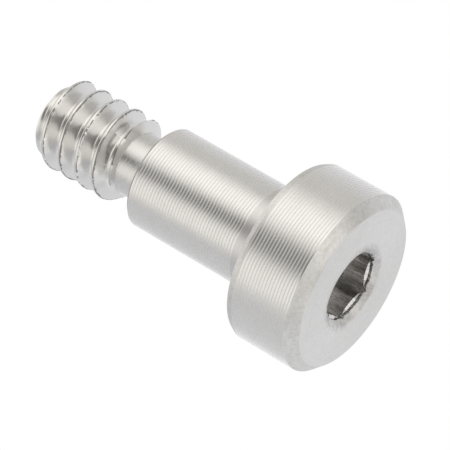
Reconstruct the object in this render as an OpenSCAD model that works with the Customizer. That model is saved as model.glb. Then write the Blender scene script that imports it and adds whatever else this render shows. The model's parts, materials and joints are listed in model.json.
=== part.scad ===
// Shoulder bolt: a turned head with a hexagon socket, a smooth shoulder and a shorter, smaller thread.
// The axis is Z. The head's face stands on Z = 0, and the thread points up.

/* [Head] */
// Diameter of the head
head_d = 7; // [6:0.1:9]
// Height of the head, from its face to the seat under it
head_h = 2.95; // [2.6:0.05:4]
// Chamfer round the face
face_chamfer = 0.4; // [0.1:0.05:0.6]
// Break on the rear edge, measured across the axis
rear_break = 0.1; // [0.05:0.05:0.3]
// Slope of the rear break, from the axis
rear_break_angle = 27; // [15:3:60]

/* [Socket] */
// Width of the hexagon across its flats
hex_af = 2.4; // [1.8:0.05:2.6]
// Depth of the hexagon from the face
hex_depth = 1.8; // [1.2:0.1:2.1]
// How much wider than the hexagon's flats the drilled lead-in is
lead_in_extra = 0.24; // [0.1:0.02:0.4]
// Length of the lead-in's straight wall
lead_in_wall = 0.11; // [0.04:0.01:0.3]
// Width of the countersink's slope, measured across the axis
countersink = 0.25; // [0.1:0.02:0.4]
// Ledge left between the hexagon's flats and the drilled floor
floor_ledge = 0.05; // [0.02:0.01:0.1]
// Point angle of the drills
drill_angle = 118; // [90:2:140]

/* [Shoulder] */
// Diameter of the shoulder
shoulder_d = 3.97; // [3.6:0.01:5]
// Length of the shoulder, from the seat under the head to its end face
shoulder_len = 5.8; // [3:0.1:20]
// Chamfer on the shoulder's end
shoulder_chamfer = 0.08; // [0.02:0.02:0.2]

/* [Thread] */
// Major diameter of the thread
thread_d = 3.5; // [3:0.05:3.8]
// Pitch of the thread
pitch = 0.79375; // [0.6:0.00625:1]
// Width of the flat on the thread's crest
crest_flat = 0.1; // [0.08:0.01:0.2]
// Width of the flat in the thread's root
root_flat = 0.13; // [0.05:0.01:0.16]
// Angle between the thread's two flanks
thread_angle = 60; // [50:1:65]
// Length from the shoulder's end to the tip
thread_len = 4.9; // [4:0.05:12]
// Chamfer on the tip
tip_chamfer = 0.45; // [0.2:0.05:0.6]
// Length of the relief between the shoulder and the thread, with its slope
thread_relief_len = 1.43; // [0.8:0.01:2]
// Depth of the relief below the thread's root
thread_relief_depth = 0.01; // [0.01:0.01:0.1]
// Slope of the relief's end, from square to the axis
relief_slope = 30; // [15:5:60]
// How far the groove runs down the relief's slope before it is gone
groove_overrun = 0.3; // [0:0.02:0.4]
// Turn over which the groove runs out, in degrees
runout_angle = 60; // [40:5:180]
// Bearing at which the groove crosses the plane of the tip
thread_bearing = 10; // [0:5:355]

/* [Hidden] */
$fn = 96;
over = 0.05;
head_r = head_d / 2;
rear_break_len = rear_break / tan(rear_break_angle);
shoulder_r = shoulder_d / 2;
shoulder_end = head_h + shoulder_len;
thread_r = thread_d / 2;
thread_depth = (pitch - crest_flat - root_flat) / 2 / tan(thread_angle / 2);
root_r = thread_r - thread_depth;
relief_r = root_r - thread_relief_depth;
relief_end = shoulder_end + thread_relief_len;
relief_slope_len = (thread_r - relief_r) * tan(relief_slope);
tip_z = shoulder_end + thread_len;
lead_in_d = hex_af + lead_in_extra;
mouth_d = lead_in_d + 2 * countersink;
mouth_depth = drill_point(2 * countersink);
lead_in_depth = mouth_depth + lead_in_wall;
floor_d = hex_af - 2 * floor_ledge;
// The groove's cutter stands a little proud of the crests, and keeps clear of its own next turn.
cutter_r = thread_r + over;
cutter_width = root_flat + 2 * (cutter_r - root_r) * tan(thread_angle / 2);
cutter_profile = [
    [root_r, root_flat / 2],
    [cutter_r, cutter_width / 2],
    [cutter_r, -cutter_width / 2],
    [root_r, -root_flat / 2]
];
turn_steps = 48;
step_angle = 360 / turn_steps;

// Height of a drill's point of the given width.
function drill_point(d) = d / 2 / tan(drill_angle / 2);

// Half section of the turned blank, from the axis outwards.
module blank_section() {
    polygon([
        [0, 0],
        [head_r - face_chamfer, 0],
        [head_r, face_chamfer],
        [head_r, head_h - rear_break_len],
        [head_r - rear_break, head_h],
        [shoulder_r, head_h],
        [shoulder_r, shoulder_end - shoulder_chamfer],
        [shoulder_r - shoulder_chamfer, shoulder_end],
        [relief_r, shoulder_end],
        [relief_r, relief_end - relief_slope_len],
        [thread_r, relief_end],
        [thread_r, tip_z - tip_chamfer],
        [thread_r - tip_chamfer, tip_z],
        [0, tip_z]
    ]);
}

// Hexagon broached through a countersunk lead-in, down to a drilled floor.
module socket() {
    translate([0, 0, -over])
        cylinder(d = mouth_d, h = over);
    cylinder(d1 = mouth_d, d2 = lead_in_d, h = mouth_depth);
    cylinder(d = lead_in_d, h = lead_in_depth);
    translate([0, 0, lead_in_depth])
        cylinder(d1 = lead_in_d, d2 = 0, h = drill_point(lead_in_d));
    rotate([0, 0, 30])
        cylinder(d = hex_af / cos(30), h = hex_depth, $fn = 6);
    translate([0, 0, hex_depth])
        cylinder(d1 = floor_d, d2 = 0, h = drill_point(floor_d));
}

// The groove's section at one angle and height, moved away from the axis by lift.
function cutter_ring(angle, z, lift) = [
    for (corner = cutter_profile)
        let (r = corner[0] + lift)
        [r * cos(angle), r * sin(angle), z + corner[1]]
];

// Right-hand groove that enters past the tip, winds down to the relief and runs out there.
module thread_groove() {
    start_z = tip_z + pitch;
    end_z = relief_end - groove_overrun;
    steps = round((start_z - end_z) / pitch * turn_steps);
    rings = [
        for (i = [0 : steps])
            let (
                turned = i * step_angle,
                left = (steps - i) * step_angle,
                lift = max(0, 1 - left / runout_angle) * (thread_depth + 2 * over)
            )
            cutter_ring(thread_bearing - turned, start_z - turned / 360 * pitch, lift)
    ];
    corners = len(cutter_profile);
    last = corners * steps;
    sides = [
        for (i = [0 : steps - 1])
            for (j = [0 : corners - 1])
                let (
                    k = (j + 1) % corners,
                    here = corners * i,
                    next = here + corners
                )
                [here + j, here + k, next + k, next + j]
    ];
    start_cap = [for (j = [corners - 1 : -1 : 0]) j];
    end_cap = [for (j = [0 : corners - 1]) last + j];
    polyhedron(
        points = [for (ring = rings) each ring],
        faces = concat([start_cap], sides, [end_cap]),
        convexity = 10
    );
}

module shoulder_bolt() {
    color("silver")
        difference() {
            rotate_extrude()
                blank_section();
            socket();
            thread_groove();
        }
}

shoulder_bolt();
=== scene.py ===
"""Shoulder bolt: one turned piece of bare stainless steel, standing on its head on a pale floor.

Lengths are millimetres until the mesh is made, and angles are degrees round the bolt's axis.
"""
import json
import math

import bmesh
import bpy
import numpy as np
from mathutils import Matrix, Vector


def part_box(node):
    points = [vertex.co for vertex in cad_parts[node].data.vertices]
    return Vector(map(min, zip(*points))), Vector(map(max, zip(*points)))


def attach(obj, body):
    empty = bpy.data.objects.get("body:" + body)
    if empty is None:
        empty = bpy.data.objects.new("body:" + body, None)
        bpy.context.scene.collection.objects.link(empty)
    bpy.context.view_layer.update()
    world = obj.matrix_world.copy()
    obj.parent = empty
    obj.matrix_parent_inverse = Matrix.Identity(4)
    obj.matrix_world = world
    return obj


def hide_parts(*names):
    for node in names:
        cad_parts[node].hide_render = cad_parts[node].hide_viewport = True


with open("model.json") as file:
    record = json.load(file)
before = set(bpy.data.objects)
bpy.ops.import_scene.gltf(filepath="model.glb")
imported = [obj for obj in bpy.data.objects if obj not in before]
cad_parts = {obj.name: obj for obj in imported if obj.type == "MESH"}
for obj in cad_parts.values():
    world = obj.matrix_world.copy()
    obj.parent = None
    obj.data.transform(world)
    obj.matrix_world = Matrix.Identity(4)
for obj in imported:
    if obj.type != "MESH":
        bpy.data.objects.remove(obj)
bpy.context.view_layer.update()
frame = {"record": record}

MM = 0.001
mounts = {mount["name"]: mount for mount in frame["record"]["mounts"]}
low_corner, high_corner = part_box("shoulder_bolt")

# Sizes from the frame
HEAD_R = high_corner.x / MM
TIP_Z = high_corner.z / MM
SEAT_Z = mounts["head_seat"]["pos_m"][2] / MM
SHOULDER_R = mounts["shoulder"]["dims"]["r_mm"]
SHOULDER_END = mounts["shoulder_end"]["pos_m"][2] / MM

# Bearing of the bolt's side that is nearest to the camera, and how far the camera is below level
NEAR_SIDE = -84
CAMERA_DIP = 25.8

# Head
FACE_CHAMFER = 0.4
REAR_BREAK = 0.1
REAR_BREAK_LEN = 0.196
EDGE_ROUND = 0.03

# Socket
HEX_AF = 2.4
HEX_DEPTH = 1.8
HEX_TURN = 60
LEAD_IN_R = 1.32
LEAD_IN_WALL = 0.11
MOUTH_R = 1.57
LIP_ROUND = 0.1
FLOOR_R = 1.15
DRILL_POINT = 118
DRILL_SLOPE = math.tan(math.radians(DRILL_POINT / 2))

# Shoulder
SHOULDER_CHAMFER = 0.08
SHOULDER_EDGE_ROUND = 0.02
SEAT_FILLET = 0.05
BAND_LENGTH = 1.0
BAND_END = SEAT_Z + BAND_LENGTH

# Feed marks of the turning tool. The head's start a whole number of feeds back from the shoulder's.
FEED = 0.128
FEED_DEPTH = 0.005
FEED_STEPS = 4
HEAD_FEEDS_BACK = 27

# Thread
THREAD_R = 1.75
PITCH = 0.79375
THREAD_ANGLE = 60
CREST_FLAT = 0.1
CREST_ROUND = 0.02
ROOT_FLAT = 0.13
ROOT_ROUND = 0.08
ROOT_SINK = 0.01
FLANK_SLOPE = math.tan(math.radians(THREAD_ANGLE / 2))
THREAD_DEPTH = (PITCH - CREST_FLAT - ROOT_FLAT) / 2 / FLANK_SLOPE
ROOT_R = THREAD_R - THREAD_DEPTH
THREAD_BEARING = 10
THREAD_TURNS = 5.75
RUNOUT = 60
RUNOUT_LIFT = THREAD_DEPTH + 0.1
TIP_CHAMFER = 0.45

# Relief behind the thread, with a slope up to the thread's full size
RELIEF_R = ROOT_R - 0.01
RELIEF_END = SHOULDER_END + 1.43
RELIEF_SLOPE_ANGLE = 30
RELIEF_SLOPE_START = RELIEF_END - (THREAD_R - RELIEF_R) * math.tan(math.radians(RELIEF_SLOPE_ANGLE))
RELIEF_UNEVEN = 0.004
RELIEF_FADE = 0.1
RELIEF_MARKS = (0.16, 21)

# Finishes of the surfaces, as the steel function below takes them
BARE = (0.79, 0.785, 0.775)
CUT = (0.68, 0.675, 0.665)
FINISHES = {
    "faced": dict(
        colour=CUT, roughness=0.3, spread=0.06, around=2.0, along=30.0, bump=0.002, on_face=True,
        speckle=0.04, whiskers=0.7,
    ),
    "turned": dict(
        colour=BARE, roughness=0.16, spread=0.04, around=6.0, along=26.0, bump=0.0012, crest_roughness=0.5,
    ),
    "chamfered": dict(
        colour=(0.75, 0.748, 0.735), roughness=0.44, spread=0.1, around=5.0, along=9.0, bump=0.004,
        speckle=0.09, speckle_scale=7.5,
    ),
    "band": dict(
        colour=(0.7, 0.695, 0.69), roughness=0.36, spread=0.05, around=5.0, along=16.0, bump=0.002,
    ),
    "threaded": dict(
        colour=BARE, roughness=0.2, spread=0.05, around=3.0, along=9.0, bump=0.0012,
    ),
    "torn": dict(
        colour=(0.42, 0.41, 0.395), roughness=0.5, spread=0.1, around=40.0, along=30.0, bump=0.01,
        patch=0.3, mottle=0.3,
    ),
    "broached": dict(
        colour=(0.95, 0.93, 0.91), roughness=0.26, spread=0.08, around=4.5, along=0.35, bump=0.02,
        streak_tint=0.68, speckle=0.16,
    ),
    "drilled": dict(
        colour=BARE, roughness=0.26, spread=0.06, around=4.0, along=20.0, bump=0.002,
    ),
    # Dark steel: real burr at the socket's mouth, and painted shade on the crescents, the shoulder's end
    # chamfer and the last ridge's near side.
    "burred": dict(
        colour=(0.22, 0.215, 0.205), roughness=0.42, spread=0.1, around=20.0, along=20.0, bump=0.006,
        patch=0.2, speckle=0.4,
    ),
    "countersunk": dict(
        colour=CUT, roughness=0.42, spread=0.1, around=8.0, along=12.0, bump=0.004,
        speckle=0.14, whiskers=0.35,
    ),
    "eased": dict(
        colour=(0.73, 0.725, 0.715), roughness=0.42, spread=0.08, around=5.0, along=16.0, bump=0.003,
        speckle=0.08,
    ),
    "necked": dict(
        colour=BARE, roughness=0.3, spread=0.1, around=5.0, along=14.0, bump=0.003, streak_tint=0.12,
    ),
}
ZONE = {name: index for index, name in enumerate(FINISHES)}

# Columns of the mesh round the axis on each stretch
SOCKET_COLUMNS = 240
HEAD_COLUMNS = 240
SHOULDER_COLUMNS = 144
THREAD_COLUMNS = 216

# Slack in comparing heights. In metres, how close points are merged and how short an edge is taken out.
HEIGHT_SLACK = 1e-9
MERGE_M = 1e-7
SHORTEST_M = 1e-8
SHARP_ANGLE = 38

# Steps of a rounded corner. An edge beside it is at least EDGE_PER_ROUND times as long as what is cut off it.
ROUND_STEPS = 4
EDGE_PER_ROUND = 2.2

# Noise: the weakest wave's share of the strongest, and how many values a line has before it repeats
WEAKEST_WAVE = 0.5
NOISE_VALUES = 4096


def wrapped(angle):
    """The same angle between -180 and 180."""
    return (angle + 180) % 360 - 180


def smooth_step(t):
    """Rises from 0 to 1 as t does, and is level at both ends."""
    t = np.clip(t, 0, 1)
    return t * t * (3 - 2 * t)


def ring_noise(angles, waves, seed):
    """A smooth random line round the axis, mostly between -1 and 1, that closes on itself."""
    rng = np.random.RandomState(seed)
    total = np.zeros(len(angles))
    for wave in waves:
        strength = rng.uniform(WEAKEST_WAVE, 1)
        phase = rng.uniform(0, 2 * math.pi)
        total += strength * np.sin(np.radians(angles) * wave + phase)
    return total / len(waves) ** 0.5


def line_noise(length, spacing, seed):
    """A smooth random line between 0 and 1 along a length, with a new value every spacing."""
    place = length / spacing
    values = np.random.RandomState(seed).uniform(0, 1, NOISE_VALUES)
    whole = np.floor(place).astype(int)
    part = smooth_step(place - whole)
    return values[whole % NOISE_VALUES] * (1 - part) + values[(whole + 1) % NOISE_VALUES] * part


# Mesh
def ring_points(angles, radius, height):
    """Points of rings round the axis, with one column for each angle."""
    turn = np.radians(angles)[None, :]
    return np.stack([radius * np.cos(turn), radius * np.sin(turn), height], axis=-1)


class Skin:
    """The points and faces of one closed surface, laid as rings from the socket's floor to the tip."""

    def __init__(self):
        self.points = []
        self.count = 0
        self.faces = []
        self.zones = []

    def add_points(self, xyz):
        """Adds an array of points and returns their numbers in the same arrangement."""
        shape = xyz.shape[:-1]
        self.points.append(xyz.reshape(-1, 3))
        numbers = self.count + np.arange(int(np.prod(shape))).reshape(shape)
        self.count += numbers.size
        return numbers

    def add_face(self, corners, zone):
        self.faces.append(tuple(int(corner) for corner in corners))
        self.zones.append(int(zone))

    def grid(self, angles, radius, height, zones):
        """A grid of closed rings. radius and height have a row for each ring and a column for each angle."""
        numbers = self.add_points(ring_points(angles, radius, height))
        rows, columns = numbers.shape
        zones = np.broadcast_to(np.asarray(zones).reshape(rows - 1, -1), (rows - 1, columns))
        beside = np.roll(numbers, -1, axis=1)
        for row in range(rows - 1):
            here, there = numbers[row], numbers[row + 1]
            here_beside, there_beside = beside[row], beside[row + 1]
            for column in range(columns):
                corners = (here[column], here_beside[column], there_beside[column], there[column])
                self.add_face(corners, zones[row, column])
        return numbers

    def lathe(self, angles, path, finish):
        """A plain turned surface along a path of (radius, height), with one finish or one for each step."""
        radius = np.repeat(path[:, :1], len(angles), axis=1)
        height = np.repeat(path[:, 1:], len(angles), axis=1)
        finishes = [finish] * (len(path) - 1) if isinstance(finish, str) else finish
        return self.grid(angles, radius, height, [ZONE[name] for name in finishes])

    def bridge(self, ring_a, ring_b, finish):
        """Joins two rings that have the same angles."""
        count = len(ring_a)
        for i in range(count):
            j = (i + 1) % count
            self.add_face((ring_a[i], ring_a[j], ring_b[j], ring_b[i]), ZONE[finish])

    def stitch(self, ring_a, angles_a, ring_b, angles_b, finish):
        """Joins two closed rings that have different angles with a strip of triangles."""
        a, b = 0, 0
        count_a, count_b = len(ring_a), len(ring_b)
        while a < count_a or b < count_b:
            next_a = angles_a[(a + 1) % count_a] + 360 * ((a + 1) // count_a)
            next_b = angles_b[(b + 1) % count_b] + 360 * ((b + 1) // count_b)
            here_a, here_b = ring_a[a % count_a], ring_b[b % count_b]
            if b >= count_b or (a < count_a and next_a <= next_b):
                self.add_face((here_a, ring_a[(a + 1) % count_a], here_b), ZONE[finish])
                a += 1
            else:
                self.add_face((here_a, ring_b[(b + 1) % count_b], here_b), ZONE[finish])
                b += 1

    def fan(self, height, ring, finish, outward):
        """Closes a ring with triangles to one point on the axis."""
        point = self.add_points(np.array([[0.0, 0.0, height]]))[0]
        count = len(ring)
        for i in range(count):
            here, beside = ring[i], ring[(i + 1) % count]
            self.add_face((point, beside, here) if outward else (point, here, beside), ZONE[finish])


def rounded(corners, radius):
    """A path through (radius, height) corners with each inner corner rounded off."""
    path = [np.array(corners[0], float)]
    for before, corner, after in zip(corners, corners[1:], corners[2:]):
        before, corner, after = (np.array(p, float) for p in (before, corner, after))
        length_back = np.linalg.norm(before - corner)
        length_ahead = np.linalg.norm(after - corner)
        back = (before - corner) / length_back
        ahead = (after - corner) / length_ahead
        half = math.acos(np.clip(back @ ahead, -1, 1)) / 2
        reach = min(radius / math.tan(half), length_back / EDGE_PER_ROUND, length_ahead / EDGE_PER_ROUND)
        start, end = corner + back * reach, corner + ahead * reach
        for i in range(ROUND_STEPS + 1):
            t = i / ROUND_STEPS
            path.append((1 - t) ** 2 * start + 2 * t * (1 - t) * corner + t ** 2 * end)
    path.append(np.array(corners[-1], float))
    return np.array(path)


# Socket's rings, as shares of the way along each of its surfaces
FLOOR_SHARES = (0.2, 0.5, 0.8, 1.0)
HEX_RINGS = 8
CRESCENT_SHARES = (0.06, 0.3, 0.6, 0.94, 1.0)

# Tears and burr round the socket's mouth: waves to a turn and seed of each, and how strong they are.
# The drill's crescents shine round BRIGHT_BEARING, apart from where the edge is torn to DEEP_TEAR. Elsewhere
# they are painted dark: painted shade, and the tear's burr where torn.
MOUTH_TEARS = ((11, 17, 23, 31, 43, 59), 41)
MOUTH_BURRS = ((7, 13, 29, 37, 53, 71), 42)
TEAR_DEPTH = 0.014
DEEP_TEAR = -1.1
TEARS_IN_BURR = 0.3
BURR_AT_CORNERS = 0.4
CORNER_REACH = 15
BURR_ELSEWHERE = -0.8
WORST_BURR = 2.6
WORST_BEARING = -8
WORST_SPREAD = 52
BRIGHT_BEARING = 120
BRIGHT_REACH = 88

# The rings of the lead-in and the countersink, each with the burr that it takes to be dark there
LEAD_IN_BURRS = ((0.15, -1.0), (0.5, -0.6), (0.85, -0.1), (1.0, 0.4))
COUNTERSINK_BURRS = ((0.12, 0.5), (0.25, 1.0), (0.45, 1.5), (0.75, 2.0))


def from_flat(angles):
    """Angle from the middle of the nearest flat. The hexagon's corners are at 30, 90, 150 and so on."""
    return (angles + HEX_TURN / 2) % HEX_TURN - HEX_TURN / 2


def hexagon(angles):
    """Distance from the axis to the hexagon at each angle."""
    return HEX_AF / 2 / np.cos(np.radians(from_flat(angles)))


def mouth_burr(angles):
    """How much burr the mouth has at each angle: more at the hexagon's corners, and most round WORST_BEARING.
    """
    from_corner = HEX_TURN / 2 - np.abs(from_flat(angles))
    burr = ring_noise(angles, *MOUTH_BURRS) + BURR_AT_CORNERS * (1 - from_corner / CORNER_REACH)
    worst = WORST_BURR * np.exp(-(wrapped(angles - WORST_BEARING) / WORST_SPREAD) ** 2)
    return burr + BURR_ELSEWHERE + worst


def make_socket(skin, angles):
    """Drilled floor, broached hexagon, drill's cone, lead-in and countersink, up to a ring on the face."""
    torn = ring_noise(angles, *MOUTH_TEARS)
    burr = mouth_burr(angles)
    hexa = hexagon(angles)
    wall = np.maximum(hexa, LEAD_IN_R) + TEAR_DEPTH * torn
    # Crescents away from BRIGHT_BEARING get the dark steel as painted shade; deep tears get it as burr.
    is_bright = (np.abs(wrapped(angles - BRIGHT_BEARING)) < BRIGHT_REACH) & (torn > DEEP_TEAR)
    crescent_finish_and_shade = np.where(is_bright, ZONE["drilled"], ZONE["burred"])
    lead_in_depth = (MOUTH_R - LEAD_IN_R) / DRILL_SLOPE + LEAD_IN_WALL
    cone_depth = lead_in_depth + (wall - hexa) / DRILL_SLOPE
    slope_start = (MOUTH_R - wall) / DRILL_SLOPE
    slope_end_r = MOUTH_R - LIP_ROUND
    rows = []

    def row(radius, depth, zone):
        rows.append([np.broadcast_to(value, len(angles)) for value in (radius, depth, zone)])

    for share in FLOOR_SHARES:
        row(FLOOR_R * share, HEX_DEPTH + FLOOR_R * (1 - share) / DRILL_SLOPE, ZONE["drilled"])
    for share in np.linspace(0, 1, HEX_RINGS):
        row(hexa, HEX_DEPTH * (1 - share) + cone_depth * share, ZONE["broached"])
    for share in CRESCENT_SHARES:
        row(hexa + (wall - hexa) * share, cone_depth + (lead_in_depth - cone_depth) * share, crescent_finish_and_shade)
    for share, level in LEAD_IN_BURRS:
        zone = np.where(burr > level, ZONE["burred"], ZONE["drilled"])
        row(wall, lead_in_depth + (slope_start - lead_in_depth) * share, zone)
    for share, level in COUNTERSINK_BURRS:
        radius = wall + (slope_end_r - wall) * share
        zone = np.where(burr + TEARS_IN_BURR * torn > level, ZONE["burred"], ZONE["countersunk"])
        row(radius, (MOUTH_R - radius) / DRILL_SLOPE, zone)
    lip = [(slope_end_r, LIP_ROUND / DRILL_SLOPE), (MOUTH_R, 0), (MOUTH_R + LIP_ROUND, 0)]
    for radius, depth in rounded(lip, LIP_ROUND):
        row(radius, depth, ZONE["countersunk"])
    radius, depth, zone = (np.array(part) for part in zip(*rows))
    rings = skin.grid(angles, radius, depth, zone[1:])
    skin.fan(HEX_DEPTH + FLOOR_R / DRILL_SLOPE, rings[0], "drilled", outward=False)
    return rings[-1]


# Rings of the head, and how far its surfaces' own rings keep from the edges beside them
FACE_RINGS = 6
CHAMFER_RINGS = 9
SEAT_RINGS = 5
FACE_MARGIN = 0.25
CHAMFER_MARGIN = 0.08
MARKS_MARGIN = 0.05
LEAST_STEP = 0.01
REAR_STEP = 0.02
SEAT_EDGE = 0.3
SEAT_OUTER_MARGIN = 0.5
SEAT_INNER_MARGIN = 0.35


def feed_marks(height, start, end):
    """How far the surface is from the marks' crests, 0 or less. The marks run from start to end."""
    phase = ((height - start) / FEED) % 1
    hollow = 1 - (2 * phase - 1) ** 2
    inside = (height >= start - HEIGHT_SLACK) & (height <= end + HEIGHT_SLACK)
    return -FEED_DEPTH * hollow * inside


def feed_rows(start, end):
    """Heights for the feed marks from start to about end, and where the last whole mark stops."""
    count = int((end - start) / FEED)
    stop = start + count * FEED
    return np.linspace(start, stop, count * FEED_STEPS + 1), stop


def make_head(skin, angles):
    """Face, chamfer, side with its feed marks, rear break and seat. Returns its first and last rings."""
    face_start = MOUTH_R + FACE_MARGIN
    front_corners = [
        (face_start, 0),
        (HEAD_R - FACE_CHAMFER, 0),
        (HEAD_R, FACE_CHAMFER),
        (HEAD_R, FACE_CHAMFER + CHAMFER_MARGIN),
    ]
    front = rounded(front_corners, EDGE_ROUND)
    split = len(front) // 2
    face_radii = np.linspace(face_start, front[1][0], FACE_RINGS)[:-1]
    face_path = np.column_stack([face_radii, np.zeros(len(face_radii))])
    face = skin.lathe(angles, np.vstack([face_path, front[1:split - 1]]), "faced")

    chamfer_from, chamfer_to = front[split - 2], front[split]
    shares = np.linspace(0, 1, CHAMFER_RINGS)[:, None]
    chamfer = skin.lathe(angles, chamfer_from + (chamfer_to - chamfer_from) * shares, "chamfered")

    side_start = BAND_END - HEAD_FEEDS_BACK * FEED
    rows, stop = feed_rows(side_start, SEAT_Z - REAR_BREAK_LEN - MARKS_MARGIN)
    lead = front[split:-1]
    lead = lead[lead[:, 1] < side_start - LEAST_STEP]
    heights = np.concatenate([lead[:, 1], rows])
    crests = np.concatenate([lead[:, 0], np.full(len(rows), HEAD_R)])
    side_path = np.column_stack([crests + feed_marks(heights, side_start, stop), heights])
    side = skin.lathe(angles, side_path, "turned")

    rear_corners = [
        (HEAD_R, stop + REAR_STEP),
        (HEAD_R, SEAT_Z - REAR_BREAK_LEN),
        (HEAD_R - REAR_BREAK, SEAT_Z),
        (HEAD_R - SEAT_EDGE, SEAT_Z),
    ]
    rear_path = rounded(rear_corners, EDGE_ROUND)
    rear = skin.lathe(angles, rear_path, "eased")
    seat_radii = np.linspace(HEAD_R - SEAT_OUTER_MARGIN, SHOULDER_R + SEAT_INNER_MARGIN, SEAT_RINGS)
    seat_path = np.column_stack([seat_radii, np.full(SEAT_RINGS, SEAT_Z)])
    seat = skin.lathe(angles, np.vstack([rear_path[-1:], seat_path]), "faced")
    for below, above in ((face, chamfer), (chamfer, side), (side, rear)):
        skin.bridge(below[-1], above[0], "turned")
    return face[0], seat[-1]


# Rings of the shoulder, how far they keep from the edges, and the finish of each step over its end. The dark
# steps on the end chamfer are a ring of painted shade where the shoulder steps down to the relief.
BAND_RINGS = 12
FILLET_MARGIN = 0.2
BAND_MARGIN = 0.3
LAST_MARK_MARGIN = 0.02
END_STEP = 0.01
END_FLAT = 0.3
END_FINISHES_AND_SHADE = ["turned"] * 3 + ["burred"] * 2 + ["torn"] * 4 + ["faced"] * 2


def make_shoulder(skin, angles):
    """Smooth band under the head, feed marks, end chamfer and the step down to the relief."""
    fillet_corners = [
        (SHOULDER_R + FILLET_MARGIN, SEAT_Z),
        (SHOULDER_R, SEAT_Z),
        (SHOULDER_R, SEAT_Z + FILLET_MARGIN),
    ]
    band_heights = np.linspace(SEAT_Z + BAND_MARGIN, BAND_END, BAND_RINGS)
    band_path = np.column_stack([np.full(BAND_RINGS, SHOULDER_R), band_heights])
    band = skin.lathe(angles, np.vstack([rounded(fillet_corners, SEAT_FILLET), band_path]), "band")

    chamfer_start = SHOULDER_END - SHOULDER_CHAMFER
    rows, stop = feed_rows(BAND_END, chamfer_start - LAST_MARK_MARGIN)
    rows = rows[1:]
    side_path = np.column_stack([SHOULDER_R + feed_marks(rows, BAND_END, stop), rows])
    side = skin.lathe(angles, side_path, "turned")
    skin.bridge(band[-1], side[0], "turned")

    end_corners = [
        (SHOULDER_R, stop + END_STEP),
        (SHOULDER_R, chamfer_start),
        (SHOULDER_R - SHOULDER_CHAMFER, SHOULDER_END),
        (RELIEF_R + END_FLAT, SHOULDER_END),
    ]
    # The end chamfer's dark rings are painted shade of the step.
    end = skin.lathe(angles, rounded(end_corners, SHOULDER_EDGE_ROUND), END_FINISHES_AND_SHADE)
    skin.bridge(side[-1], end[0], "turned")
    return band[0], end[-1]


# Rows of one turn of the groove: across its root as shares of the root's half width, down its flank,
# and from the crest's edge in millimetres
ROOT_SHARES = (0, 0.7, 1.3)
FLANK_ROWS = 5
FLANK_FROM = 2
FLANK_MARGIN = 0.03
CREST_OFFSETS = (-0.014, 0.003, 0.02, 0.036)

# Torn edge of the crests. Each pair is a noise's spacing along the crest in millimetres and its seed.
TORN_WIDTH = 0.03
TORN_WANDER = 0.012
TORN_WANDERS = (0.19, 15)
TORN_NARROWEST = 0.5
TORN_WIDENING = 0.8
TORN_WIDTHS = (0.14, 16)
TORN_GAPS = (0.07, 17)
TORN_BEYOND = 0.3
WHOLE_TURN_KEPT = 0.97
BROKEN_TURN_KEPT = 0.66
BROKEN_TURN_WIDTH = 0.8
PIT_DEPTH = 0.04
PIT_WIDTH = 0.03
PIT_WANDER = 0.02
PIT_WANDERS = (0.21, 11)
PITS = (0.11, 12)
PIT_REGIONS = (0.7, 13)
LIP_HEIGHT = 0.008
LIP_WIDTH = 0.015
LIPS = (0.16, 14)

# Dark line on the last ridge, where the groove crosses the relief's slope: the torn edge, with painted shade
# that widens it at the near side and makes it darkest there.
RIDGE_LINE = 0.08
RIDGE_SHADE_WIDER = 0.03
RIDGE_SPREAD = 32
RIDGE_GAPS = (0.12, 19)
RIDGE_KEPT = 0.9
RIDGE_SHADE_REACH = 110

# The relief's foot on the shoulder's end
FOOT_FLAT = 0.15
FOOT_HEIGHT = 0.04
FOOT_ROUND = 0.02
LOWEST = SHOULDER_END + FOOT_HEIGHT

# Rings of the tip's end face
TIP_EDGE = 0.15
TIP_RINGS = (0.6, 0.2)


def blank_radius(height):
    """Radius of the turned blank from the shoulder's end to the tip, uneven on the relief."""
    turned = np.interp(
        height,
        [SHOULDER_END, RELIEF_SLOPE_START, RELIEF_END, TIP_Z - TIP_CHAMFER, TIP_Z],
        [RELIEF_R, RELIEF_R, THREAD_R, THREAD_R, THREAD_R - TIP_CHAMFER],
    )
    along = height - SHOULDER_END
    inside = smooth_step(along / RELIEF_FADE) * smooth_step((RELIEF_SLOPE_START - height) / RELIEF_FADE)
    return turned + RELIEF_UNEVEN * inside * (line_noise(along, *RELIEF_MARKS) - 0.5)


def groove_radius(off_centre, lift):
    """Distance from the axis to the groove's surface, with a rounded root."""
    flank = (np.abs(off_centre) - ROOT_FLAT / 2) / FLANK_SLOPE
    return ROOT_R - ROOT_SINK + lift + 0.5 * (flank + np.sqrt(flank ** 2 + ROOT_ROUND ** 2))


def soft_min(a, b, width):
    """The smaller of two surfaces, with the edge where they cross rounded over."""
    return 0.5 * (a + b - np.sqrt((a - b) ** 2 + width ** 2))


def thread_offsets():
    """Where the rows of one turn lie, from a groove's centre to the next, close together at its edges."""
    root = ROOT_FLAT / 2
    edge = (PITCH - CREST_FLAT) / 2
    at_root = [root * share for share in ROOT_SHARES]
    on_flank = np.linspace(root * FLANK_FROM, edge - FLANK_MARGIN, FLANK_ROWS)
    at_crest = [edge + offset for offset in CREST_OFFSETS]
    half = np.concatenate([at_root, on_flank, at_crest])
    return np.concatenate([half, [PITCH / 2], PITCH - half[:0:-1]])


def thread_heights(offsets, rise):
    """Heights of the rows, which climb with the helix. Some are moved to the edges that the blank has."""
    turns = math.ceil((TIP_Z - LOWEST) / PITCH) + 2
    base = TIP_Z - (turns - 1) * PITCH
    climb = np.concatenate([base + turn * PITCH + offsets for turn in range(turns)])
    height = climb[:, None] + rise
    for level in (RELIEF_SLOPE_START, RELIEF_END, TIP_Z - TIP_CHAMFER):
        nearest = np.abs(height - level).argmin(axis=0)
        height[nearest, np.arange(len(rise))] = level
    return np.clip(height, LOWEST, TIP_Z)


def crest_arc(turned):
    """Length along the crest in millimetres, from the tip."""
    return np.radians(turned) * THREAD_R


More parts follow.
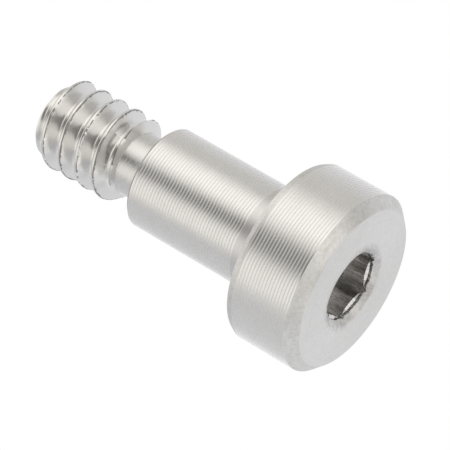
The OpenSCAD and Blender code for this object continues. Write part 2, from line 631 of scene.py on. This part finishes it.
def torn_places(turned, off_centre):
    """Where the crests' edge on the head's side is torn: all along some turns, in pieces on others."""
    arc = crest_arc(turned)
    edge = (PITCH - CREST_FLAT) / 2 + TORN_WANDER * (line_noise(arc, *TORN_WANDERS) - 0.5)
    whole_turn = np.floor(turned / 360) % 2 == 1
    wide = TORN_WIDTH * (TORN_NARROWEST + TORN_WIDENING * line_noise(arc, *TORN_WIDTHS))
    wide = wide * np.where(whole_turn, 1, BROKEN_TURN_WIDTH)
    kept = line_noise(arc, *TORN_GAPS) < np.where(whole_turn, WHOLE_TURN_KEPT, BROKEN_TURN_KEPT)
    return (off_centre > edge - wide) & (off_centre < edge + TORN_BEYOND * wide) & kept


def torn_crest(turned, off_centre, lift):
    """Pits and a fine lip along the crests' edge on the head's side."""
    arc = crest_arc(turned)
    edge = (PITCH - CREST_FLAT) / 2
    pitted_edge = edge + PIT_WANDER * (line_noise(arc, *PIT_WANDERS) - 0.5)
    pit = line_noise(arc, *PITS) ** 2 * line_noise(arc, *PIT_REGIONS)
    pits = -PIT_DEPTH * pit * np.exp(-((off_centre - pitted_edge) / PIT_WIDTH) ** 2)
    lips = LIP_HEIGHT * line_noise(arc, *LIPS) * np.exp(-((off_centre - edge) / LIP_WIDTH) ** 2)
    return (lift <= 0) * (pits + lips)


def last_ridge(angles, height, turned, off_slope):
    """Where the dark line on the last ridge runs, widened at the near side with painted shade. off_slope is
    how far the groove is from the blank.
    """
    near = np.exp(-(wrapped(angles - NEAR_SIDE) / RIDGE_SPREAD) ** 2)
    on_slope = (height > RELIEF_SLOPE_START) & (height < RELIEF_END)
    unbroken = line_noise(crest_arc(turned), *RIDGE_GAPS) < RIDGE_KEPT
    return (off_slope < RIDGE_LINE + RIDGE_SHADE_WIDER * near) & on_slope & unbroken


def make_thread(skin, angles):
    """Relief, helical groove with torn crests, run-out and tip chamfer. Returns its first and last rings."""
    offsets = thread_offsets()
    rise = (angles - THREAD_BEARING) / 360 * PITCH
    height = thread_heights(offsets, rise)
    turn = (height - rise - TIP_Z) / PITCH
    nearest = np.round(turn)
    off_centre = (turn - nearest) * PITCH
    turned = 360 * (1 - nearest) - angles + THREAD_BEARING
    lift = np.maximum(0, 1 + (turned - THREAD_TURNS * 360) / RUNOUT) * RUNOUT_LIFT
    blank = blank_radius(height)
    groove = groove_radius(off_centre, lift)
    radius = soft_min(blank, groove, CREST_ROUND) + torn_crest(turned, off_centre, lift)

    is_cut = (lift < THREAD_DEPTH) & (height < TIP_Z - TIP_CHAMFER / 2)
    is_torn = torn_places(turned, off_centre) & is_cut
    is_ridge = last_ridge(angles, height, turned, np.abs(blank - groove))
    # Painted shade: the ridge line is darkest on the side nearest the camera.
    is_ridge_shade = is_ridge & (np.abs(wrapped(angles - NEAR_SIDE)) < RIDGE_SHADE_REACH)
    finish = np.where(height < RELIEF_SLOPE_START, ZONE["necked"], ZONE["threaded"])
    finish = np.where(is_torn | is_ridge, ZONE["torn"], finish)
    finish = np.where(is_ridge_shade, ZONE["burred"], finish)

    numbers = skin.add_points(ring_points(angles, radius, height))
    rows, columns = numbers.shape
    for column in range(columns):
        # The last column meets the first one turn further up
        is_last = column == columns - 1
        beside = 0 if is_last else column + 1
        shift = len(offsets) if is_last else 0
        for row in range(rows - 1 - shift):
            here, above = numbers[row, column], numbers[row + 1, column]
            right, right_above = numbers[row + shift, beside], numbers[row + 1 + shift, beside]
            skin.add_face((here, right, right_above, above), finish[row, column])
    return numbers[0], numbers[-1]


# Whole bolt
def even_angles(count):
    """Angles of count columns, even all round."""
    return np.arange(count) * 360 / count


def make_bolt():
    """The whole surface as one closed mesh, with a material for each finish."""
    socket_angles = even_angles(SOCKET_COLUMNS)
    head_angles = even_angles(HEAD_COLUMNS)
    shoulder_angles = even_angles(SHOULDER_COLUMNS)
    thread_angles = even_angles(THREAD_COLUMNS)
    skin = Skin()
    mouth = make_socket(skin, socket_angles)
    face, seat = make_head(skin, head_angles)
    band, step = make_shoulder(skin, shoulder_angles)
    neck, thread_end = make_thread(skin, thread_angles)
    skin.stitch(mouth, socket_angles, face, head_angles, "faced")
    skin.stitch(seat, head_angles, band, shoulder_angles, "faced")

    foot_corners = [(RELIEF_R + FOOT_FLAT, SHOULDER_END), (RELIEF_R, SHOULDER_END), (RELIEF_R, LOWEST)]
    foot = skin.lathe(thread_angles, rounded(foot_corners, FOOT_ROUND)[:-1], "faced")
    skin.stitch(step, shoulder_angles, foot[0], thread_angles, "faced")
    skin.bridge(foot[-1], neck, "faced")

    tip_radii = (THREAD_R - TIP_CHAMFER - TIP_EDGE, *TIP_RINGS)
    tip = skin.lathe(thread_angles, np.array([(radius, TIP_Z) for radius in tip_radii]), "faced")
    skin.bridge(thread_end, tip[0], "faced")
    skin.fan(TIP_Z, tip[-1], "faced", outward=True)

    bolt = mesh_object(skin)
    for name, finish in FINISHES.items():
        bolt.data.materials.append(steel(f"{name}_steel", **finish))
    return bolt


def mesh_object(skin):
    """The skin as an object in metres, with points that coincide merged and empty faces taken out."""
    mesh = bpy.data.meshes.new("turned_bolt")
    points = np.concatenate(skin.points) * MM
    mesh.from_pydata(points.tolist(), [], skin.faces)
    mesh.polygons.foreach_set("material_index", np.array(skin.zones, np.int32))
    work = bmesh.new()
    work.from_mesh(mesh)
    bmesh.ops.remove_doubles(work, verts=work.verts, dist=MERGE_M)
    bmesh.ops.dissolve_degenerate(work, edges=work.edges, dist=SHORTEST_M)
    open_edges = sum(1 for edge in work.edges if not edge.is_manifold)
    triangles = sum(len(face.verts) - 2 for face in work.faces)
    print(f"bolt: {len(work.verts)} points, {triangles} triangles, {open_edges} open edges")
    work.to_mesh(mesh)
    work.free()
    mesh.polygons.foreach_set("use_smooth", np.ones(len(mesh.polygons), bool))
    mesh.set_sharp_from_angle(angle=math.radians(SHARP_ANGLE))
    bolt = bpy.data.objects.new("turned_bolt", mesh)
    bpy.context.scene.collection.objects.link(bolt)
    return bolt


# Materials
class Nodes:
    """Short calls for the nodes of one material or world."""

    def __init__(self, tree):
        self.tree = tree
        tree.nodes.clear()

    def add(self, kind, inputs=None, **settings):
        """A new node. Each input is a constant or another node's output."""
        node = self.tree.nodes.new(kind)
        for name, value in settings.items():
            setattr(node, name, value)
        for name, value in (inputs or {}).items():
            if isinstance(value, bpy.types.NodeSocket):
                self.tree.links.new(value, node.inputs[name])
            else:
                node.inputs[name].default_value = value
        return node

    def math(self, operation, a, b=0.0, clamp=False):
        return self.add("ShaderNodeMath", {0: a, 1: b}, operation=operation, use_clamp=clamp).outputs[0]

    def vector(self, operation, a, b=(0, 0, 0)):
        """A vector, or a number where the operation gives one."""
        node = self.add("ShaderNodeVectorMath", {0: a, 1: b}, operation=operation)
        return node.outputs["Value" if operation in ("LENGTH", "DOT_PRODUCT") else "Vector"]

    def split(self, vector):
        return self.add("ShaderNodeSeparateXYZ", {0: vector}).outputs

    def join(self, x, y, z=0.0):
        return self.add("ShaderNodeCombineXYZ", {0: x, 1: y, 2: z}).outputs[0]

    def mapped(self, value, low, high, to_low=0.0, to_high=1.0, interpolation="LINEAR"):
        """The value between low and high, brought to between to_low and to_high."""
        return self.add("ShaderNodeMapRange", {
            "Value": value, "From Min": low, "From Max": high, "To Min": to_low, "To Max": to_high,
        }, interpolation_type=interpolation).outputs[0]

    def noise(self, vector, scale, detail, roughness=0.5):
        return self.add("ShaderNodeTexNoise", {
            "Vector": vector, "Scale": scale, "Detail": detail, "Roughness": roughness,
        }).outputs["Fac"]

    def mix(self, factor, a, b, blend_type="MIX"):
        return self.add(
            "ShaderNodeMix", {"Factor": factor, "A": a, "B": b}, data_type="RGBA", blend_type=blend_type,
        ).outputs["Result"]

    def ramp(self, value, stops):
        """A colour ramp through stops of (place, colour)."""
        node = self.add("ShaderNodeValToRGB", {"Fac": value})
        elements = node.color_ramp.elements
        while len(elements) > 1:
            elements.remove(elements[-1])
        (elements[0].position, elements[0].color), *others = stops
        for place, colour in others:
            elements.new(place).color = colour
        return node.outputs["Color"]


# Streaks and blotches. A noise is its scale, detail and roughness.
STREAKS_NOISE = (1.0, 4.0, 0.6)
STREAKS_FROM = 0.3
STREAKS_TO = 0.7
BLOTCHES_AROUND = 3.0
BLOTCHES_ALONG = 1.2
BLOTCHES_NOISE = (1.3, 5.0, 0.65)
SPECKS_DETAIL = 3.0
SPECKS_ROUGHNESS = 0.6
# Noise at or below NOISE_DARK is darkest, and at or above NOISE_LIGHT lightest
NOISE_DARK = 0.35
NOISE_LIGHT = 0.65
SMOOTHEST = 0.03
ANISOTROPY = 0.6
ANISOTROPY_TURN = 0.25
# The marks are counted from this many feeds below the band's end, which is below the whole bolt
FEEDS_BELOW = 100

# Dark whiskers of the burr on the face, and the stretches of the edge that have them
WHISKERS_NOISE = (1.0, 3.0)
WHISKERS_AROUND = 26.0
WHISKERS_ALONG = 2.5
REGIONS_NOISE = (1.0, 1.0)
WHISKERS_FROM = 0.42
WHISKERS_GAIN = 6.0
REGIONS_AROUND = 1.6
REGIONS_FROM = 0.45
REGIONS_GAIN = 5.0
HALO_START = MOUTH_R - 0.1
HALO_END = MOUTH_R + 0.3
HALO_DEEPEST = 0.5
WHISKER_COLOUR = (0.2, 0.195, 0.19)


def opaque(colour):
    return (*colour, 1.0)


def place_in_mm(nodes):
    place = nodes.add("ShaderNodeTexCoord").outputs["Object"]
    return nodes.vector("MULTIPLY", place, (1 / MM, 1 / MM, 1 / MM))


def turned_coordinates(nodes, around, along, on_face=False):
    """Noise coordinates with no seam, that run round the axis and along it, or out from it on a face."""
    x, y, z = nodes.split(place_in_mm(nodes))
    from_axis = nodes.join(x, y)
    unit = nodes.split(nodes.vector("NORMALIZE", from_axis))
    step = nodes.vector("LENGTH", from_axis) if on_face else z
    return nodes.join(
        nodes.math("MULTIPLY", unit[0], around),
        nodes.math("MULTIPLY", unit[1], around),
        nodes.math("MULTIPLY", step, along),
    )


def feed_lines(nodes):
    """1 on the crests between feed marks and 0 in the middle of the marks."""
    height = nodes.split(place_in_mm(nodes))["Z"]
    from_below = nodes.math("SUBTRACT", height, BAND_END - FEEDS_BELOW * FEED)
    phase = nodes.math("FRACT", nodes.math("DIVIDE", from_below, FEED))
    across = nodes.math("SUBTRACT", nodes.math("MULTIPLY", phase, 2.0), 1.0)
    return nodes.math("POWER", nodes.math("ABSOLUTE", across), 2.0)


def shaded(nodes, colour, noise, low, high):
    """The colour made darker or lighter where the noise is low or high."""
    level = nodes.mapped(noise, NOISE_DARK, NOISE_LIGHT, low, high)
    return nodes.mix(1.0, colour, level, blend_type="MULTIPLY")


def whiskered(nodes, colour, strength):
    """Dark whiskers that point away from the socket's edge, in some stretches of it and not in others."""
    whisker_place = turned_coordinates(nodes, WHISKERS_AROUND, WHISKERS_ALONG, on_face=True)
    radial = nodes.noise(whisker_place, *WHISKERS_NOISE)
    region_place = turned_coordinates(nodes, REGIONS_AROUND, 0.0, on_face=True)
    regions = nodes.noise(region_place, *REGIONS_NOISE)
    x, y, z = nodes.split(place_in_mm(nodes))
    near = nodes.mapped(nodes.vector("LENGTH", nodes.join(x, y)), HALO_START, HALO_END, 1.0, 0.0)
    near = nodes.math("MULTIPLY", near, nodes.math("LESS_THAN", z, HALO_DEEPEST))
    whiskers = nodes.math("SUBTRACT", radial, WHISKERS_FROM, clamp=True)
    whiskers = nodes.math("MULTIPLY", whiskers, WHISKERS_GAIN, clamp=True)
    where = nodes.math("SUBTRACT", regions, REGIONS_FROM, clamp=True)
    where = nodes.math("MULTIPLY", where, REGIONS_GAIN, clamp=True)
    amount = nodes.math("MULTIPLY", whiskers, where)
    amount = nodes.math("MULTIPLY", amount, nodes.math("MULTIPLY", near, strength))
    return nodes.mix(amount, colour, opaque(WHISKER_COLOUR))


def steel(name, colour, roughness, spread, around, along, bump, on_face=False, patch=0.05, mottle=0.0,
          crest_roughness=0.0, streak_tint=0.0, speckle=0.0, speckle_scale=7.0, whiskers=0.0):
    """Bare machined steel.

    Its streaks are around and along in scale and bump in height. spread is how far the roughness wanders
    with them, and streak_tint how much they darken. patch and mottle are how far the colour wanders in
    blotches, and speckle how far in specks. crest_roughness is what the feed marks' crests add to the
    roughness, and whiskers how dark the burr's whiskers are.
    """
    material = bpy.data.materials.new(name)
    material.use_nodes = True
    nodes = Nodes(material.node_tree)
    streaks = nodes.noise(turned_coordinates(nodes, around, along, on_face), *STREAKS_NOISE)
    blotch_place = turned_coordinates(nodes, BLOTCHES_AROUND, BLOTCHES_ALONG, on_face)
    blotches = nodes.noise(blotch_place, *BLOTCHES_NOISE)

    smoothest = max(SMOOTHEST, roughness - spread)
    rough = nodes.mapped(streaks, STREAKS_FROM, STREAKS_TO, smoothest, roughness + spread)
    if crest_roughness:
        rough = nodes.math("ADD", rough, nodes.math("MULTIPLY", feed_lines(nodes), crest_roughness))

    darker = [part * (1 - patch - mottle) for part in colour]
    lighter = [min(1, part * (1 + patch)) for part in colour]
    tint = nodes.mix(blotches, opaque(darker), opaque(lighter))
    if streak_tint:
        tint = shaded(nodes, tint, streaks, 1 - streak_tint, 1.0)
    if speckle:
        place = nodes.add("ShaderNodeTexCoord").outputs["Object"]
        specks = nodes.noise(place, speckle_scale / MM, SPECKS_DETAIL, SPECKS_ROUGHNESS)
        tint = shaded(nodes, tint, specks, 1 - speckle, 1 + speckle / 2)
    if whiskers:
        tint = whiskered(nodes, tint, whiskers)

    relief = nodes.add("ShaderNodeBump", {"Height": streaks, "Strength": 1.0, "Distance": bump * MM})
    tangent = nodes.add("ShaderNodeTangent", direction_type="RADIAL", axis="Z")
    shader = nodes.add("ShaderNodeBsdfPrincipled", {
        "Base Color": tint, "Metallic": 1.0, "Roughness": rough, "Anisotropic": ANISOTROPY,
        "Anisotropic Rotation": ANISOTROPY_TURN, "Normal": relief.outputs[0], "Tangent": tangent.outputs[0],
    })
    nodes.add("ShaderNodeOutputMaterial", {"Surface": shader.outputs[0]})
    return material


# Floor, with its size in metres
FLOOR_HALF_M = 0.5
FLOOR_DROP_M = 0.00001
FLOOR_COLOUR = (0.93, 0.93, 0.93)
FLOOR_GLOW = 0.35
WHITE = (1, 1, 1)


def make_floor():
    """A pale floor that only the camera sees, and only from above, so light from below reaches the face."""
    mesh = bpy.data.meshes.new("floor")
    half, level = FLOOR_HALF_M, low_corner.z - FLOOR_DROP_M
    corners = [(-half, -half, level), (half, -half, level), (half, half, level), (-half, half, level)]
    mesh.from_pydata(corners, [], [(0, 1, 2, 3)])
    floor = bpy.data.objects.new("floor", mesh)
    bpy.context.scene.collection.objects.link(floor)
    material = bpy.data.materials.new("pale_floor")
    material.use_nodes = True
    nodes = Nodes(material.node_tree)
    seen = nodes.add("ShaderNodeLightPath").outputs["Is Camera Ray"]
    behind = nodes.add("ShaderNodeNewGeometry").outputs["Backfacing"]
    shown = nodes.math("MULTIPLY", seen, nodes.math("SUBTRACT", 1.0, behind))
    matt = nodes.add("ShaderNodeBsdfDiffuse", {"Color": opaque(FLOOR_COLOUR)})
    glow = nodes.add("ShaderNodeEmission", {"Color": opaque(WHITE), "Strength": FLOOR_GLOW})
    lit = nodes.add("ShaderNodeAddShader", {0: matt.outputs[0], 1: glow.outputs[0]})
    clear = nodes.add("ShaderNodeBsdfTransparent")
    mix = nodes.add("ShaderNodeMixShader", {0: shown, 1: clear.outputs[0], 2: lit.outputs[0]})
    nodes.add("ShaderNodeOutputMaterial", {"Surface": mix.outputs[0]})
    mesh.materials.append(material)


# The studio is striped like a room of strip lights. A stripe is named by the bearing of the bolt's side that
# mirrors it to the camera, from the side that is nearest to the camera, and has a light level there.
STRIPES = [
    (-180, 0.95), (-86, 1.05), (-78, 0.93), (-70, 0.75), (-60, 0.69), (-40, 0.63), (-34, 0.75), (-28, 0.98),
    (-18, 1.02), (-11, 0.9), (-5, 0.85), (4, 0.9), (9, 1.02), (16, 1.22), (26, 1.17), (34, 0.87), (40, 0.64),
    (54, 0.68), (68, 0.78), (78, 0.9), (86, 1.05), (180, 0.95),
]
# What lies below the bolt is striped otherwise. SLOPE_STRIPES are what sides tilted half down mirror, and
# FLANK_STRIPES what steeper ones mirror. Straight down is one plain level. Each takes over between two
# tilts.
SLOPE_STRIPES = [
    (-180, 0.76), (-74, 0.8), (-50, 0.84), (-42, 0.7), (-36, 0.53), (-28, 0.76), (-10, 0.82), (-2, 1.0),
    (6, 1.3), (16, 1.06), (24, 0.96), (30, 0.94), (38, 0.46), (48, 0.54), (62, 0.76), (180, 0.8),
]
FLANK_STRIPES = [
    (-180, 0.77), (-82, 0.77), (-66, 0.77), (-50, 0.67), (-42, 0.88), (-36, 0.86), (-26, 1.34), (-18, 0.96),
    (-10, 0.38), (-2, 0.54), (6, 0.43), (14, 0.74), (22, 1.12), (30, 1.18), (38, 0.7), (46, 0.64),
    (54, 0.72), (64, 0.82), (180, 0.85),
]
DOWN_LEVEL = 0.93
SLOPES_FROM, SLOPES_TO = 14, 34
FLANKS_FROM, FLANKS_TO = 47, 56
DOWN_FROM, DOWN_TO = 68, 78
# The lamps of the near stripes are a little warm and the far walls a little cool.
WARM = (1.0, 0.972, 0.93)
COOL = (0.997, 1.0, 1.015)
WARM_FROM = -38
WARM_TO = 62
# A dark card hangs in front of the near side. It narrows upwards to nothing. Downwards it widens by
# CARD_TAPER degrees for each unit of drop, until it reaches twice CARD_WIDTH to each side.
CARD_BEARING = -2
CARD_WIDTH = 7.0
CARD_TAPER = 22.0
CARD_EDGE = 7.0
CARD_LEVEL = 0.28


def stripe_colour(bearing, level):
    """A stripe's colour, warm on the near side."""
    tint = WARM if WARM_FROM < bearing < WARM_TO else COOL
    return opaque(level * part for part in tint)


def striped(nodes, share, stripes):
    """The stripes' colour at a share of the way round from -180 to 180."""
    stops = [((bearing + 180) / 360, stripe_colour(bearing, level)) for bearing, level in stripes]
    return nodes.ramp(share, stops)


def card_shade(nodes, bearing, drop):
    """The dark card's level where it hangs, and 1 elsewhere."""
    half = nodes.math("ADD", nodes.math("MULTIPLY", drop, CARD_TAPER), CARD_WIDTH)
    half = nodes.math("MINIMUM", half, 2 * CARD_WIDTH)
    aside = nodes.math("ABSOLUTE", nodes.math("SUBTRACT", nodes.math("DEGREES", bearing), CARD_BEARING))
    outside = nodes.math("SUBTRACT", aside, half)
    return nodes.mapped(outside, -CARD_EDGE / 2, CARD_EDGE / 2, CARD_LEVEL, 1.0, "SMOOTHSTEP")


def make_world():
    """The striped studio, which the steel mirrors, and plain white for the camera itself."""
    world = bpy.data.worlds.new("studio")
    bpy.context.scene.world = world
    world.use_nodes = True
    nodes = Nodes(world.node_tree)
    near = math.radians(NEAR_SIDE)
    dip = math.radians(CAMERA_DIP)
    direction = nodes.add("ShaderNodeTexCoord").outputs["Generated"]
    to_front = nodes.vector("DOT_PRODUCT", direction, (math.cos(near), math.sin(near), 0))
    to_side = nodes.vector("DOT_PRODUCT", direction, (-math.sin(near), math.cos(near), 0))

    # A side that mirrors this direction to the camera faces halfway between the two
    ahead = nodes.math("ADD", to_front, math.cos(dip))
    drop = nodes.math("SUBTRACT", math.sin(dip), nodes.split(direction)["Z"])
    bearing = nodes.math("ARCTAN2", to_side, ahead)
    reach = nodes.math("ADD", nodes.math("POWER", ahead, 2.0), nodes.math("POWER", to_side, 2.0))
    tilt = nodes.math("DEGREES", nodes.math("ARCTAN2", drop, nodes.math("SQRT", reach)))
    share = nodes.mapped(bearing, -math.pi, math.pi)

    walls = striped(nodes, share, STRIPES)
    colour = nodes.vector("MULTIPLY", walls, card_shade(nodes, bearing, drop))
    below = [
        (SLOPES_FROM, SLOPES_TO, striped(nodes, share, SLOPE_STRIPES)),
        (FLANKS_FROM, FLANKS_TO, striped(nodes, share, FLANK_STRIPES)),
        (DOWN_FROM, DOWN_TO, stripe_colour(180, DOWN_LEVEL)),
    ]
    for start, end, colour_below in below:
        reached = nodes.mapped(tilt, start, end, interpolation="SMOOTHSTEP")
        colour = nodes.mix(reached, colour, colour_below)
    light = nodes.add("ShaderNodeBackground", {"Color": colour, "Strength": 1.0})
    white = nodes.add("ShaderNodeBackground", {"Color": opaque(WHITE), "Strength": 1.0})
    seen = nodes.add("ShaderNodeLightPath").outputs["Is Camera Ray"]
    mix = nodes.add("ShaderNodeMixShader", {0: seen, 1: light.outputs[0], 2: white.outputs[0]})
    nodes.add("ShaderNodeOutputWorld", {"Surface": mix.outputs[0]})


# Camera: its place, and the directions to the right and up in its picture
CAMERA_PLACE = (9.78, -96.2, -41.1)
CAMERA_RIGHT = (0.4603, 0.4262, -0.7788)
CAMERA_UP = (0.8828, -0.1267, 0.4524)
CAMERA_LENS = 240
CAMERA_SENSOR = 36
CLIP_START_M = 0.001


def make_camera():
    data = bpy.data.cameras.new("camera")
    data.lens = CAMERA_LENS
    data.sensor_width = CAMERA_SENSOR
    data.clip_start = CLIP_START_M
    camera = bpy.data.objects.new("camera", data)
    right = Vector(CAMERA_RIGHT).normalized()
    up = Vector(CAMERA_UP)
    up = (up - right * up.dot(right)).normalized()
    back = right.cross(up)
    turn = Matrix((right, up, back)).transposed().to_4x4()
    camera.matrix_world = Matrix.Translation(Vector(CAMERA_PLACE) * MM) @ turn
    bpy.context.scene.collection.objects.link(camera)
    bpy.context.scene.camera = camera


bolt = make_bolt()
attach(bolt, "root")
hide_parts("shoulder_bolt")
make_floor()
make_world()
make_camera()
bpy.context.scene.view_settings.view_transform = "Standard"

bpy.context.view_layer.update()
